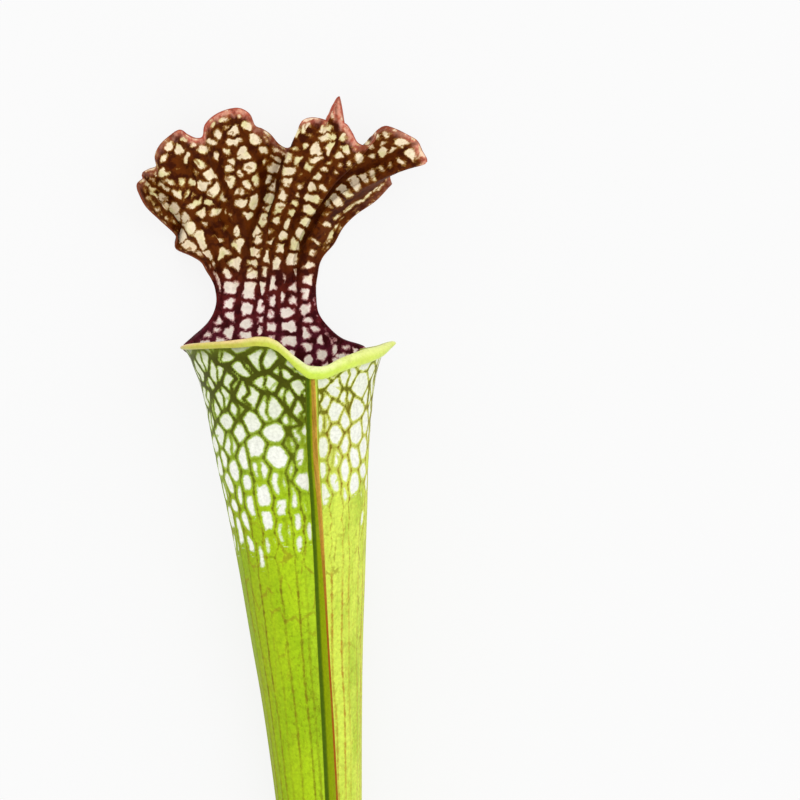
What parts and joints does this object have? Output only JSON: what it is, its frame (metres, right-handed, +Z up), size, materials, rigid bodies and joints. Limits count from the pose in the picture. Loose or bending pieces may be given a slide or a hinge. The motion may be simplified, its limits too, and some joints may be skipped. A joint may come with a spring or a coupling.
{
  "type": "pitcher plant leaf",
  "caption": "Trumpet-shaped pitcher leaf, cut and laid on its back: a hollow tapering tube with a wing along its front, a rolled lip with a spout, and a frilled hood on a short column.",
  "frame": {"origin": "on the flat strip of the tube's back that the leaf rests on, straight under the mouth, at the height of the lip", "axes": "+Y runs along the leaf from the cut stalk to the hood, +Z is up, away from the table, and the leaf's front faces +Z"},
  "size_m": [0.0581, 0.3249, 0.0386],
  "materials": {
    "leaf": "satin living leaf: yellow-green tube with a white-windowed olive net near the mouth, red-brown netted hood"
  },
  "bodies": {
    "root": {"pitcher": "leaf"}
  },
  "joints": []
}
